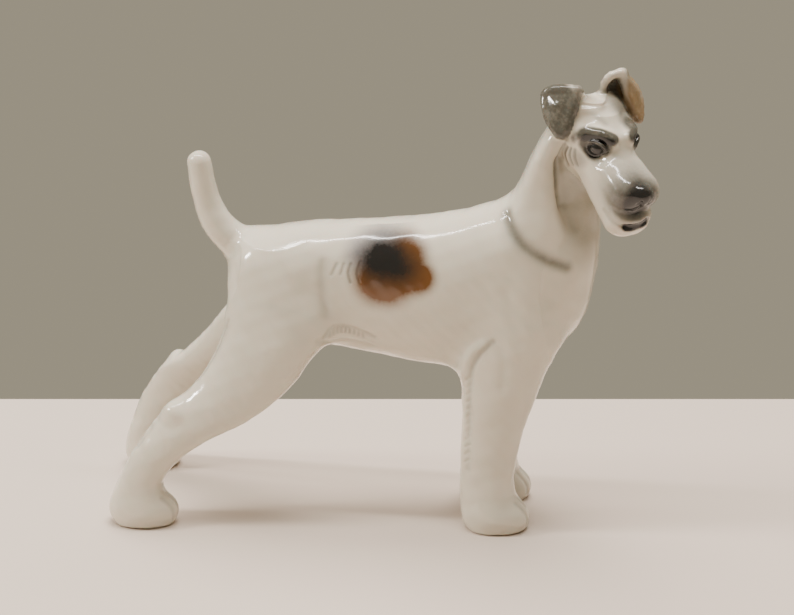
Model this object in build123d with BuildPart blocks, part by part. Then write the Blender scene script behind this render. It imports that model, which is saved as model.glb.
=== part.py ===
from build123d import *

import os
from math import cos, radians, sin

# Standing terrier figurine in glazed porcelain, as the castings that the potter lutes together.
#
# Millimetres, +Z up. The dog looks along +X with its head turned to its right (-Y).
# The origin is on the floor, under the middle of the bounding box.
#
# The torso, neck and head are hollow slip castings whose cavities join. The legs, tail and ears are
# cast solid. Every casting is trimmed to the face of the one that it is luted to, so seams meet
# face to face. The firing vent is a small hole in the belly.

# ---- driving dimensions ---------------------------------------------------------------------
WALL = 3.5  # thickness of a slip-cast wall
VENT_RADIUS = 1.6
VENT_X = -8.0  # the vent is on the belly's centre line, just ahead of the hind legs
VENT_Z = 69.5  # about the height of the belly's wall there

# The torso's outline from rump to chest: x, top line, belly line, half width.
TORSO = (
    (-59.0, 98.5, 88.5, 4.0),
    (-57.0, 104.0, 84.0, 9.0),
    (-53.0, 110.0, 79.0, 14.5),
    (-46.0, 114.0, 75.5, 18.0),
    (-33.0, 116.3, 72.5, 20.0),
    (-15.0, 117.9, 69.8, 20.0),
    (5.0, 119.6, 66.8, 20.5),
    (25.0, 121.5, 63.8, 21.5),
    (42.0, 126.3, 62.2, 22.0),
    (56.0, 128.5, 63.0, 21.5),
    (68.0, 124.0, 66.5, 19.5),
    (78.0, 116.0, 75.0, 15.5),
    (84.0, 107.0, 86.0, 9.5),
    (86.4, 101.0, 92.0, 4.5),
)

# The neck, bottom to top: z, nape x, throat x, side offset, half width.
NECK = (
    (98.0, 42.0, 76.0, 0.0, 17.5),
    (112.0, 47.0, 85.6, 0.0, 17.8),
    (122.0, 51.3, 87.3, 0.0, 16.6),
    (131.0, 55.2, 87.2, -0.3, 14.8),
    (140.0, 59.0, 86.2, -0.8, 13.0),
    (149.0, 62.7, 86.0, -1.8, 11.8),
    (156.0, 65.8, 86.5, -3.0, 11.0),
    (162.0, 69.5, 87.0, -4.0, 9.0),
    (167.0, 75.5, 86.5, -4.6, 5.5),
)
# The neck's core runs from the torso's cavity into the head's.
NECK_CORE = (
    (96.0, 55.5, 76.5, 0.0, 12.5),
    (118.0, 54.5, 82.0, 0.0, 13.0),
    (131.0, 59.4, 83.0, -0.3, 11.0),
    (142.0, 64.6, 82.3, -1.0, 8.8),
    (154.0, 71.5, 84.0, -3.2, 6.5),
)

# The head turns about its own centre: yaw to the right, then nose down, then a slight tilt.
HEAD_CENTRE = (90.0, -8.7, 155.7)
HEAD_YAW = 47.5
HEAD_PITCH = 33.0
HEAD_ROLL = -1.5
# Sections along the muzzle: distance ahead of the centre, crown, jaw line, half width.
HEAD = (
    (-24.0, 2.0, -8.0, 4.5),
    (-21.5, 6.0, -11.0, 8.2),
    (-15.0, 9.3, -14.0, 11.6),
    (-6.0, 9.8, -15.0, 12.6),
    (2.0, 9.0, -15.4, 11.8),
    (8.0, 7.4, -17.0, 10.2),
    (15.0, 5.6, -19.6, 9.4),
    (22.0, 4.4, -22.0, 8.8),
    (27.6, 3.4, -22.0, 7.2),
    (30.6, 0.6, -18.6, 4.6),
)

# One ear in the head's own frame (forward, left, up); the other mirrors it. The fold runs from
# the front corner beside the crown to the rear corner; the flap hangs forward to its tip.
EAR_ROOT = (-15.0, 8.0, 3.5)
EAR_FOLD_FRONT = (-16.0, 10.0, 16.5)
EAR_FOLD_REAR = (-24.0, 18.5, 7.0)
EAR_TIP = (-3.8, 18.8, 3.6)
EAR_THICKNESS = 3.6
EAR_ROLL = 4.2  # thickness of the rounded fold
# Down the base and down the flap: fraction of the way, share of the fold's half width, and share
# of the thickness.
EAR_BASE = ((0.0, 0.75, 1.6), (0.6, 0.85, 1.1), (0.97, 0.97, 1.0))
EAR_FLAP = ((0.02, 0.98, 1.0), (0.35, 0.88, 1.0), (0.7, 0.5, 0.9), (1.0, 0.12, 0.5))

# The tail's centre line and radius, root to tip.
TAIL = (
    ((-44.0, 106.0), 7.8),
    ((-52.5, 109.0), 7.0),
    ((-59.0, 115.0), 6.2),
    ((-63.3, 123.0), 5.5),
    ((-65.4, 132.0), 5.0),
    ((-66.6, 140.0), 4.8),
    ((-67.4, 143.8), 3.4),
)

# A foreleg, floor to shoulder: z, back x, front x, side offset, half width.
FORELEG = (
    (0.0, 42.5, 60.5, 15.4, 8.2),
    (1.5, 40.0, 63.6, 15.4, 9.8),
    (5.0, 38.4, 65.2, 15.3, 10.4),
    (9.0, 37.8, 64.4, 15.1, 10.2),
    (13.0, 37.4, 61.2, 14.8, 9.4),
    (20.0, 37.3, 59.0, 14.4, 8.6),
    (32.0, 37.5, 61.0, 13.8, 8.6),
    (45.0, 37.7, 65.0, 13.2, 9.2),
    (57.0, 37.2, 69.2, 12.8, 9.9),
    (67.0, 37.0, 71.5, 12.4, 10.2),
    (77.0, 42.0, 71.0, 12.0, 9.2),
    (86.0, 50.0, 66.0, 11.0, 6.0),
)

# A hind foot, floor to pastern, the same way as a foreleg.
HIND_FOOT = (
    (0.0, -98.0, -79.5, 28.6, 7.8),
    (1.5, -100.3, -76.3, 28.6, 9.2),
    (5.0, -101.0, -74.2, 28.6, 9.8),
    (9.0, -100.6, -74.6, 28.5, 9.6),
    (14.0, -98.2, -78.2, 28.2, 8.2),
    (19.0, -94.0, -80.5, 28.0, 5.5),
)
# The rest of the hind leg, pastern to hip, by sections square to its slanting centre line:
# x, z, side offset, half depth, half width.
HIND_LIMB = (
    (-91.0, 9.0, 28.3, 7.8, 6.8),
    (-86.6, 20.0, 28.0, 8.0, 7.4),
    (-80.6, 30.0, 27.4, 8.3, 7.2),
    (-71.4, 40.8, 25.8, 9.6, 7.4),
    (-58.5, 49.6, 23.4, 12.6, 8.2),
    (-47.6, 59.0, 20.6, 16.6, 9.6),
    (-39.8, 71.0, 17.6, 19.8, 10.4),
    (-37.2, 83.0, 14.6, 19.4, 9.8),
    (-37.6, 95.0, 11.6, 13.0, 7.0),
)
# The left hind leg stands further back: height, and how far back.
NO_SET_BACK = ((0.0, 0.0), (110.0, 0.0))
LEFT_SET_BACK = ((0.0, 6.6), (20.0, 9.4), (46.0, 12.2), (68.0, 8.5), (88.0, 0.0), (110.0, 0.0))
LEFT_TOE_SHORTER = 4.5  # the left hind paw's toes reach less far forward

os.makedirs("parts", exist_ok=True)


# ---- frames ---------------------------------------------------------------------------------
def head_axes():
    """The head's forward, left and up directions."""
    yaw, pitch, roll = (radians(a) for a in (HEAD_YAW, HEAD_PITCH, HEAD_ROLL))
    forward = Vector(cos(yaw) * cos(pitch), -sin(yaw) * cos(pitch), -sin(pitch))
    level_left = Vector(sin(yaw), cos(yaw), 0)
    level_up = forward.cross(level_left)
    left = level_left * cos(roll) + level_up * sin(roll)
    return forward, left, forward.cross(left)


FORWARD, LEFT, UP = head_axes()


def head_point(forward, left, up):
    """A point given in the head's own frame."""
    return Vector(*HEAD_CENTRE) + FORWARD * forward + LEFT * left + UP * up


# ---- castings -------------------------------------------------------------------------------
def standing_loft(stations, shrink=0.0, side=1):
    """A loft through level ellipses: z, back x, front x, side offset, half width."""
    with BuildPart() as body:
        for z, back, front, offset, half_width in stations:
            with BuildSketch(Plane.XY.offset(z)):
                with Locations(((back + front) / 2, side * offset)):
                    Ellipse((front - back) / 2 - shrink, half_width - shrink)
        loft()
    return body.part


def torso_loft(stations, shrink=0.0):
    """A loft through upright ellipses along X."""
    with BuildPart() as body:
        for x, top, belly, half_width in stations:
            with BuildSketch(Plane.YZ.offset(x)):
                with Locations((0, (top + belly) / 2)):
                    Ellipse(half_width - shrink, (top - belly) / 2 - shrink)
        loft()
    return body.part


def head_loft(stations, shrink=0.0):
    """A loft through ellipses across the muzzle."""
    with BuildPart() as body:
        for ahead, crown, jaw, half_width in stations:
            middle = head_point(ahead, 0, (crown + jaw) / 2)
            with BuildSketch(Plane(origin=middle, x_dir=LEFT, z_dir=FORWARD)):
                Ellipse(half_width - shrink, (crown - jaw) / 2 - shrink)
        loft()
    return body.part


def leaf_loft(start, end, stations, half_width, width_dir):
    """A loft through flat ellipses from start to end, all as wide as they are told along width_dir."""
    thin_dir = width_dir.cross(end - start)
    with BuildPart() as body:
        for way, width_share, thickness_share in stations:
            centre = start + (end - start) * way
            with BuildSketch(Plane(origin=centre, x_dir=width_dir, z_dir=width_dir.cross(thin_dir))):
                Ellipse(half_width * width_share, EAR_THICKNESS / 2 * thickness_share)
        loft()
    return body.part


def fold_roll(centre, half_width, width_dir, thin_dir):
    """The rounded edge along an ear's fold."""
    with BuildPart() as body:
        with BuildSketch(Plane(origin=centre, x_dir=width_dir, z_dir=thin_dir)):
            Ellipse(half_width, EAR_ROLL / 2)
            Rectangle(2 * half_width, EAR_ROLL, align=(Align.CENTER, Align.MIN), mode=Mode.SUBTRACT)
        revolve(axis=Axis(centre, width_dir))
    return body.part


def ear_solid(side):
    """One ear: the base leans out from the skull and the flap folds forward from its edge."""
    corners = (EAR_ROOT, EAR_FOLD_FRONT, EAR_FOLD_REAR, EAR_TIP)
    root, fold_front, fold_rear, tip = (head_point(f, side * l, u) for f, l, u in corners)
    fold = (fold_front + fold_rear) * 0.5
    width_dir = (fold_rear - fold_front).normalized()
    half_width = (fold_rear - fold_front).length / 2
    base = leaf_loft(root, fold, EAR_BASE, half_width, width_dir)
    flap = leaf_loft(fold, tip, EAR_FLAP, half_width, width_dir)
    roll = fold_roll(fold, half_width, width_dir, width_dir.cross(tip - fold))
    with BuildPart() as body:
        add(base)
        add(flap)
        add(roll)
    return body.part


def tail_solid():
    """The docked tail, round all the way."""
    centres = [Vector(x, 0, z) for (x, z), _ in TAIL]
    with BuildPart() as body:
        for i, (_, radius) in enumerate(TAIL):
            along = centres[min(i + 1, len(TAIL) - 1)] - centres[max(i - 1, 0)]
            with BuildSketch(Plane(origin=centres[i], x_dir=(0, 1, 0), z_dir=along)):
                Circle(radius)
        loft()
    return body.part


def hind_leg_solid(side, set_back, toe_shorter=0.0):
    """One hind leg: a foot, and the limb leaning forward from it up to the hip."""

    def moved_back(z):
        (low, low_shift), (high, high_shift) = next(
            pair for pair in zip(set_back, set_back[1:]) if pair[0][0] <= z <= pair[1][0]
        )
        return low_shift + (high_shift - low_shift) * (z - low) / (high - low)

    pastern = HIND_FOOT[-1][0]
    foot = [
        (z, back - moved_back(z), front - moved_back(z) - toe_shorter * (1 - z / pastern), y, w)
        for z, back, front, y, w in HIND_FOOT
    ]
    centres = [Vector(x - moved_back(z), side * y, z) for x, z, y, _, _ in HIND_LIMB]
    with BuildPart() as limb:
        for i, (_, _, _, half_depth, half_width) in enumerate(HIND_LIMB):
            along = centres[min(i + 1, len(centres) - 1)] - centres[max(i - 1, 0)]
            depth_dir = along.cross(Vector(0, 1, 0))
            with BuildSketch(Plane(origin=centres[i], x_dir=depth_dir, z_dir=along)):
                Ellipse(half_depth, half_width)
        loft()
    with BuildPart() as body:
        add(standing_loft(foot, side=side))
        add(limb.part)
    return body.part


def trimmed(casting, *neighbours):
    """A casting cut back to the faces that it is luted to."""
    with BuildPart() as body:
        add(casting)
        for neighbour in neighbours:
            add(neighbour, mode=Mode.SUBTRACT)
    return body.part.solids().sort_by(SortBy.VOLUME)[-1]


torso_outer = torso_loft(TORSO)
torso_core = torso_loft(TORSO[1:-1], WALL)
neck_outer = standing_loft(NECK)
neck_core = standing_loft(NECK_CORE)
head_outer = head_loft(HEAD)
head_core = head_loft(HEAD[2:-3], WALL)

left_hind_leg = hind_leg_solid(1, LEFT_SET_BACK, LEFT_TOE_SHORTER)

with BuildPart() as vent:
    with BuildSketch(Plane.XY.offset(VENT_Z - 2 * WALL)):
        with Locations((VENT_X, 0)):
            Circle(VENT_RADIUS)
    extrude(amount=4 * WALL)

castings = {
    "torso": trimmed(torso_outer, torso_core, neck_core, vent.part),
    "neck": trimmed(neck_outer, torso_outer, head_outer, neck_core),
    "head": trimmed(head_outer, head_core, neck_core),
    "right_ear": trimmed(ear_solid(-1), head_outer, neck_outer),
    "left_ear": trimmed(ear_solid(1), head_outer, neck_outer),
    "tail": trimmed(tail_solid(), torso_outer),
    "right_foreleg": trimmed(standing_loft(FORELEG, side=-1), torso_outer, neck_outer),
    "left_foreleg": trimmed(standing_loft(FORELEG), torso_outer, neck_outer),
    "right_hind_leg": trimmed(hind_leg_solid(-1, NO_SET_BACK), torso_outer, tail_solid()),
    "left_hind_leg": trimmed(left_hind_leg, torso_outer, tail_solid()),
}

for name, casting in castings.items():
    casting.label = name
    export_step(casting, f"parts/{name}.step")

whole = Compound(children=list(castings.values())).bounding_box()
print("overall", whole.min, whole.max)
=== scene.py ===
from concurrent.futures import ThreadPoolExecutor

import bpy
import numpy as np
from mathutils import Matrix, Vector


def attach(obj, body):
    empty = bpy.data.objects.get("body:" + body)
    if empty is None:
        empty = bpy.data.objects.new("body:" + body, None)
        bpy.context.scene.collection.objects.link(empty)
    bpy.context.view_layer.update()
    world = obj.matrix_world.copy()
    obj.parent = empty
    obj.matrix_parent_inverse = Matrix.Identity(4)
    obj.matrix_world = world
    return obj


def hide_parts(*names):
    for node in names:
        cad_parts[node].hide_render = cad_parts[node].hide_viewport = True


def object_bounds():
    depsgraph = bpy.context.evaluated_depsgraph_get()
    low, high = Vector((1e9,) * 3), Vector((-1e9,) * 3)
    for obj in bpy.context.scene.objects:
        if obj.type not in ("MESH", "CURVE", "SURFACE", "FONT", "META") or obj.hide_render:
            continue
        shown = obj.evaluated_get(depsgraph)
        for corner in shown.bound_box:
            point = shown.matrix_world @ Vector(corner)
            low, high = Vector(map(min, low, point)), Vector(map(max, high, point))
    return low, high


# A standing terrier figurine in glazed porcelain. The whole dog is one smooth scalar field, negative
# inside, built from profiles and rounded masses. It is meshed once, and then parted into the same
# castings as the CAD nodes, so that the glaze runs over the seams as it does on the fired figurine.
#
# Sculpting is in millimetres in the part's frame: +X the way the body faces, +Y the dog's left, +Z up.

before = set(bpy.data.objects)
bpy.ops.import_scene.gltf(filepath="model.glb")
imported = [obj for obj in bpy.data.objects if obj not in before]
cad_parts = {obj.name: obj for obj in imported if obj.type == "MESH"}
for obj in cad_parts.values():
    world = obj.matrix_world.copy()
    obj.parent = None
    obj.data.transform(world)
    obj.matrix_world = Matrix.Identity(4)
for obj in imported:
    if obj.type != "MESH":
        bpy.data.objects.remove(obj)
cad_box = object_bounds()
MM = 0.001

# ---- fineness -------------------------------------------------------------------------------
SPACING = 0.5
COARSENING = 4  # the first grid's step, in spacings
GRID_MARGIN = 8
FAR = 30.0  # field value where nothing is near
CHUNK = 40000  # points in one slice of work
THREADS = 4
VOTING_ROUNDS = 30  # of evening out the castings' borders

UNEVEN = 0.1  # the hand-modelled surface's waves
GROUND_ROUNDING = 1.2  # of the edge that the paws stand on

# ---- the body's outlines, in millimetres ------------------------------------------------------
# x, top line, belly line, half width
TORSO = (
    (-54, 106.0, 83.0, 12.0),
    (-47, 112.6, 79.0, 16.6),
    (-38, 115.2, 75.6, 19.2),
    (-27, 117.5, 72.0, 20.0),
    (-12, 118.7, 68.8, 19.2),
    (0, 119.8, 66.8, 19.6),
    (12, 120.9, 64.9, 20.6),
    (24, 122.3, 63.2, 21.4),
    (36, 124.8, 62.0, 21.6),
    (48, 128.2, 62.0, 21.0),
    (60, 127.0, 63.5, 20.0),
    (72, 116.0, 71.0, 17.0),
)
TORSO_ENDS = (-48, 66)
# height, back x, front x, middle y, half width
NAPE = (
    (94, 54.0, 62.0, 0.0, 4.0),
    (103, 47.5, 67.0, 0.0, 11.0),
    (112, 46.8, 73.0, 0.0, 15.6),
    (122, 50.6, 77.4, 0.0, 16.4),
    (131, 54.7, 74.6, -0.3, 15.0),
    (140, 58.6, 73.0, -0.8, 13.8),
    (150, 62.8, 72.6, -1.8, 12.6),
    (158, 67.0, 77.0, -3.2, 11.0),
    (165, 73.0, 84.0, -4.4, 8.5),
    (170, 79.0, 88.0, -5.0, 5.0),
)
THROAT = (
    (94, 66.0, 76.0, 0.0, 4.0),
    (102, 61.0, 84.0, 0.0, 9.0),
    (109, 60.0, 87.4, 0.0, 11.8),
    (116, 61.0, 88.4, 0.0, 11.8),
    (124, 62.0, 88.6, 0.0, 9.8),
    (134, 64.0, 88.0, -0.4, 8.0),
    (144, 66.0, 87.6, -1.0, 7.6),
    (154, 68.0, 89.0, -2.4, 8.0),
    (164, 74.0, 92.0, -4.4, 7.0),
)
FORELEG = (
    (-2, 41.0, 58.0, 15.2, 9.0),
    (4, 39.0, 60.0, 15.2, 9.6),
    (12, 37.6, 59.6, 14.9, 9.2),
    (20, 37.3, 58.8, 14.5, 8.5),
    (30, 37.6, 59.8, 13.9, 8.5),
    (40, 37.8, 62.0, 13.4, 8.9),
    (50, 37.8, 65.0, 13.0, 9.5),
    (60, 37.3, 68.4, 12.7, 10.1),
    (67, 37.0, 71.0, 12.4, 10.4),
    (78, 40.6, 74.6, 12.0, 9.8),
    (90, 47.0, 72.0, 10.6, 7.8),
    (100, 53.0, 67.0, 8.0, 4.6),
    (108, 57.0, 63.0, 5.0, 2.0),
)
HIND_LEG = (
    (-2, -98.0, -80.0, 28.5, 8.0),
    (6, -100.3, -79.0, 28.5, 8.6),
    (12, -99.3, -78.4, 28.4, 8.4),
    (18, -96.9, -78.8, 28.2, 7.7),
    (24, -93.9, -74.8, 27.9, 7.2),
    (30, -90.6, -68.6, 27.4, 7.0),
    (36, -86.6, -59.6, 26.4, 6.9),
    (42, -82.0, -47.6, 25.0, 7.1),
    (48, -77.0, -38.4, 23.2, 7.7),
    (53, -70.4, -32.4, 21.6, 8.4),
    (60, -64.2, -26.0, 19.6, 9.3),
    (67, -59.8, -21.4, 17.8, 10.0),
    (76, -56.2, -16.6, 15.8, 10.2),
    (87, -52.6, -16.0, 13.0, 8.6),
    (96, -47.0, -22.0, 9.6, 5.2),
    (103, -40.0, -30.0, 6.0, 2.0),
)
# How far back each left leg stands from its right one, by height
FOREPAW_BACK = 1.6
UPRIGHT = ((-10, 0.0), (200, 0.0))
FORE_SET_BACK = ((-10, FOREPAW_BACK), (70, 0.0), (200, 0.0))
HIND_SET_BACK = ((-2, 8.6), (20, 10.0), (48, 12.6), (70, 8.4), (88, 0.5), (110, 0.0))
# Middle and radii of each paw, and middle of each hock, by side
FOREPAWS = {
    -1: ((52.3, -15.3, 5.0), (13.2, 10.4, 9.0)),
    1: ((52.3 - FOREPAW_BACK, 15.3, 5.0), (13.2, 10.4, 9.0)),
}
HIND_PAWS = {
    -1: ((-86.8, -28.5, 5.6), (13.6, 9.8, 9.2)),
    1: ((-96.6, 28.7, 5.6), (11.0, 10.0, 9.0)),
}
FOREPAW_TILT, HIND_PAW_TILT = -6, -5
HOCKS = {-1: (-73.8, -26.4, 46.0), 1: (-84.6, 26.4, 48.4)}
HOCK_RADII = (4.0, 4.0, 4.0)
# share of the length, x, z, radius
TAIL = (
    (0.0, -40.0, 104.0, 8.4),
    (0.2, -50.5, 107.5, 7.4),
    (0.4, -58.0, 113.5, 6.4),
    (0.6, -63.0, 121.5, 5.6),
    (0.8, -65.4, 131.0, 5.0),
    (1.0, -66.8, 140.3, 4.7),
)
TAIL_LINKS = 16

# ---- the head's own frame: forward, left, up, about its centre --------------------------------
HEAD_CENTRE = np.array((90.0, -8.7, 155.7))
HEAD_YAW, HEAD_PITCH, HEAD_ROLL = np.radians((47.5, 33.0, -1.5))


def head_axes():
    """Columns are the head's forward, left and up."""
    flat = np.array((np.cos(HEAD_YAW), -np.sin(HEAD_YAW), 0.0))
    level_left = np.array((np.sin(HEAD_YAW), np.cos(HEAD_YAW), 0.0))
    forward = flat * np.cos(HEAD_PITCH) + np.array((0.0, 0.0, -np.sin(HEAD_PITCH)))
    level_up = np.cross(forward, level_left)
    left = level_left * np.cos(HEAD_ROLL) + level_up * np.sin(HEAD_ROLL)
    return np.stack((forward, left, np.cross(forward, left)), axis=1)


HEAD_AXES = head_axes()


def to_head(points):
    """The part's points in the head's own frame."""
    return (points - HEAD_CENTRE) @ HEAD_AXES


# ---- field tools ------------------------------------------------------------------------------
def join(a, b, softness):
    """Union of two fields, filleted over the given distance."""
    share = np.clip(0.5 + 0.5 * (b - a) / softness, 0, 1)
    return b + (a - b) * share - softness * share * (1 - share)


def cut(a, b, softness):
    """Field a with b taken away, its new edge rounded."""
    return -join(-a, b, softness)


def fade(low, high, value):
    """0 at low and below, 1 at high and above, smooth between."""
    t = np.clip((value - low) / (high - low), 0, 1)
    return t * t * (3 - 2 * t)


def flow(table, at):
    """Smooth curves through a table's columns; its first column is the place."""
    rows = np.array(table, float)
    keys, values = rows[:, 0], rows[:, 1:]
    slopes = np.gradient(values, keys, axis=0)
    i = np.clip(np.searchsorted(keys, at) - 1, 0, len(keys) - 2)
    span = keys[i + 1] - keys[i]
    t = np.clip((at - keys[i]) / span, 0, 1)
    rise = t * t * (3 - 2 * t)
    leave = t * (1 - t) ** 2 * span
    arrive = t * t * (t - 1) * span
    return [
        values[i, c] + (values[i + 1, c] - values[i, c]) * rise
        + slopes[i, c] * leave + slopes[i + 1, c] * arrive
        for c in range(values.shape[1])
    ]


def oval(u, v, half_u, half_v, power=2.0):
    """Distance in a plane to an ellipse, or to a squarer oval with a higher power."""
    spread = (np.abs(u / half_u) ** power + np.abs(v / half_v) ** power + 1e-6) ** (1 / power)
    reach = np.sqrt(u * u + v * v + 1e-6 * half_u * half_v)
    return reach - reach / spread


def barrel(p, table, power=2.2):
    """Mass along x: place, top, bottom, half width."""
    top, bottom, half_width = flow(table, p[:, 0])
    return oval(p[:, 1], p[:, 2] - (top + bottom) / 2, half_width, (top - bottom) / 2, power)


def column(p, table, side=1, set_back=UPRIGHT, power=2.1):
    """Mass up z: height, back x, front x, middle y, half width."""
    z = p[:, 2]
    back, front, middle, half_width = flow(table, z)
    (shift,) = flow(set_back, z)
    above = flow(table, z + 1.0)
    lean = (above[0] + above[1] - back - front) / 2
    d = oval(p[:, 0] + shift - (back + front) / 2, p[:, 1] - side * middle,
             (front - back) / 2, half_width, power)
    d = d / np.sqrt(1 + lean * lean)
    return np.maximum(d, np.maximum(z - table[-1][0], table[0][0] - z))


def pitched(q, degrees):
    """Points as seen from axes whose first one is raised by some degrees."""
    c, s = np.cos(np.radians(degrees)), np.sin(np.radians(degrees))
    return np.stack((q[:, 0] * c + q[:, 2] * s, q[:, 1], q[:, 2] * c - q[:, 0] * s), axis=1)


def ball(p, centre, radii, tilt=0.0):
    """Ellipsoid; tilt raises its first axis, in degrees, about the second."""
    q = p - np.array(centre)
    if tilt:
        q = pitched(q, tilt)
    r = np.array(radii)
    share = np.sqrt(((q / r) ** 2).sum(1) + 1e-9)
    steep = np.sqrt(((q / r ** 2) ** 2).sum(1) + 1e-12)
    return share * (share - 1) / steep


def strand(p, points, radii):
    """Rounded cord through points, its radius changing along it."""
    d = np.full(len(p), np.inf)
    for a, b, ra, rb in zip(points, points[1:], radii, radii[1:]):
        a, b = np.array(a, float), np.array(b, float)
        run = b - a
        t = np.clip(((p - a) @ run) / (run @ run), 0, 1)
        link = np.sqrt(((p - a - t[:, None] * run) ** 2).sum(1)) - (ra + (rb - ra) * t)
        d = np.minimum(d, link)
    return d


def line(p, points):
    """Distance to a line of points."""
    return strand(p, points, [0.0] * len(points))


def stroke(p, points, depth, width):
    """Depth of an incised stroke along a line of points; negative depth raises a ridge."""
    return depth * np.exp(-((line(p, points) / width) ** 2))


def near(p, low, high):
    """Which points lie in a box."""
    return np.all((p > np.array(low)) & (p < np.array(high)), axis=1)


def patch(p, low, high, field, *extra):
    """A field worked out only inside a box."""
    d = np.full(len(p), FAR)
    inside = near(p, low, high)
    if inside.any():
        d[inside] = field(p[inside], *extra)
    return d


# ---- castings ---------------------------------------------------------------------------------
def torso(p):
    rump = ball(p, (-40.0, 0, 95.5), (16.2, 17.6, 17.6))
    chest = ball(p, (60, 0, 98), (26.4, 18.6, 30.0))
    d = np.maximum(barrel(p, TORSO), np.maximum(TORSO_ENDS[0] - p[:, 0], p[:, 0] - TORSO_ENDS[1]))
    return join(join(d, rump, 4), chest, 5)


def neck(p):
    return join(column(p, NAPE, power=2.8), column(p, THROAT), 1.6)


def foreleg(p, side):
    leg = column(p, FORELEG, side, FORE_SET_BACK if side > 0 else UPRIGHT)
    return join(leg, ball(p, *FOREPAWS[side], FOREPAW_TILT), 3.5)


def hind_leg(p, side):
    leg = column(p, HIND_LEG, side, HIND_SET_BACK if side > 0 else UPRIGHT)
    leg = join(leg, ball(p, *HIND_PAWS[side], HIND_PAW_TILT), 2.4)
    return join(leg, ball(p, HOCKS[side], HOCK_RADII), 3.2)


def tail(p):
    x, z, radius = flow(TAIL, np.linspace(0, 1, TAIL_LINKS + 1))
    return strand(p, [(a, 0.0, b) for a, b in zip(x, z)], radius)


def curve(points, steps=3):
    """A finer line of points along a smooth curve through some points."""
    rows = np.column_stack((np.arange(len(points)), points))
    return np.stack(flow(rows, np.linspace(0, len(points) - 1, steps * (len(points) - 1) + 1)), axis=1)


# The head's features in its own frame, for the left side
BROW = ((-5.2, 10.6, 0.0), (-2.4, 10.4, 4.0), (1.2, 8.4, 6.6), (4.8, 4.6, 6.4))
EYE = (3.4, 8.0, 2.2)
EYE_RADII = (2.9, 2.9, 2.7)
UPPER_LID = ((0.6, 10.3, 1.4), (2.2, 10.6, 4.4), (5.0, 9.4, 5.2), (7.0, 7.2, 3.6))
LOWER_LID = ((0.6, 10.3, 1.4), (3.2, 10.5, -0.2), (5.8, 9.2, 0.6), (7.0, 7.2, 3.6))
LID_RADIUS = 0.7
MOUTH = ((29.9, -5.2, -13.0), (31.4, -3.6, -12.8), (32.4, 0.0, -11.8), (31.2, 4.0, -11.0))
HALVES_MEET = 2.0  # how far from the middle the head's two halves run into each other


def skull(q):
    h = np.stack((q[:, 0], np.sqrt(q[:, 1] ** 2 + HALVES_MEET ** 2), q[:, 2]), axis=1)
    cranium = ball(h, (-9.0, 4.2, -1.8), (13.4, 9.2, 11.3))
    forehead = ball(h, (-1.5, 2.0, -2.0), (11.5, 9.2, 9.6))
    temple = strand(h, ((-13.5, 8.0, 5.0), (-4.5, 10.0, 2.0)), (4.6, 3.6))
    muzzle = strand(h, ((0, 2.4, -4.8), (21.6, 4.0, -4.2)), (8.0, 6.9))
    beard = strand(h, ((6.0, 2.4, -8.5), (24.6, 2.6, -14.4)), (8.4, 7.2))
    cheek = ball(h, (-4.8, 7.8, -6.5), (8.4, 5.2, 7.6))
    socket = ball(h, (6.0, 10.8, 1.8), (5.2, 3.2, 3.4))
    d = join(join(cranium, forehead, 4), temple, 2.5)
    d = join(join(join(d, muzzle, 3.5), beard, 2.5), cheek, 4)
    d = cut(d, socket, 2)
    brow = curve(BROW)
    d = join(d, strand(h, brow, np.linspace(1.4, 2.2, len(brow))), 3.4)
    d = join(d, ball(h, EYE, EYE_RADII), 0.5)
    for lid in (curve(UPPER_LID), curve(LOWER_LID)):
        d = join(d, strand(h, lid, [LID_RADIUS] * len(lid)), 0.6)
    mouth = curve(MOUTH)
    return cut(d, strand(q, mouth, np.linspace(0.9, 1.5, len(mouth))), 1.4)


def nose(q):
    d = ball(q, (25.4, -1.0, -1.6), (4.6, 5.0, 4.4))
    for side in (-1, 1):
        d = cut(d, ball(q, (29.8, side * 2.4 - 1.0, -2.0), (1.8, 1.0, 1.2)), 0.8)
    return d


def head(p):
    q = to_head(p)
    return join(skull(q), nose(q), 0.8)


# An ear's points in the head's frame, for a left ear; a right ear mirrors them. The base stands on
# the skull: it runs up its inner edge, along the crease and down its outer edge, round the middle of
# its bowl. The flap folds over forward along the crease and hangs to its tip, round the middle of its
# dish. A web fills the corner between base, flap and skull.
# The grey laid on each web and under each flap is painted shade.
BASE_THICKNESS, FLAP_THICKNESS, WEB_THICKNESS = 1.1, 1.4, 1.3  # half of each
FOOT_RADII = (1.7, 2.2, 2.4)
RIGHT_EAR = dict(
    crease=((-15.6, 10.4, 13.0), (-19.4, 13.6, 10.4), (-22.4, 16.4, 6.6)),
    inner=((-15.0, 5.8, 5.2), (-15.4, 7.6, 10.6)),
    outer=((-22.5, 15.4, 2.6), (-20.5, 12.0, -1.0)),
    bowl=(-21.5, 10.0, 6.6),
    edge=((-21.2, 17.4, 4.4), (-17.8, 18.4, 2.6), (-13.2, 18.6, 0.8), (-9.4, 18.0, -0.2)),
    tip=(-7.2, 16.8, -0.2),
    front=((-9.0, 15.2, 4.0), (-12.2, 12.8, 8.6)),
    dish=(-15.2, 16.4, 6.6),
    rim=1.3,
    web=((-20.0, 12.0, 6.0), (-15.0, 9.0, 7.0), (-9.0, 13.6, 1.0)),
)
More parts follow.
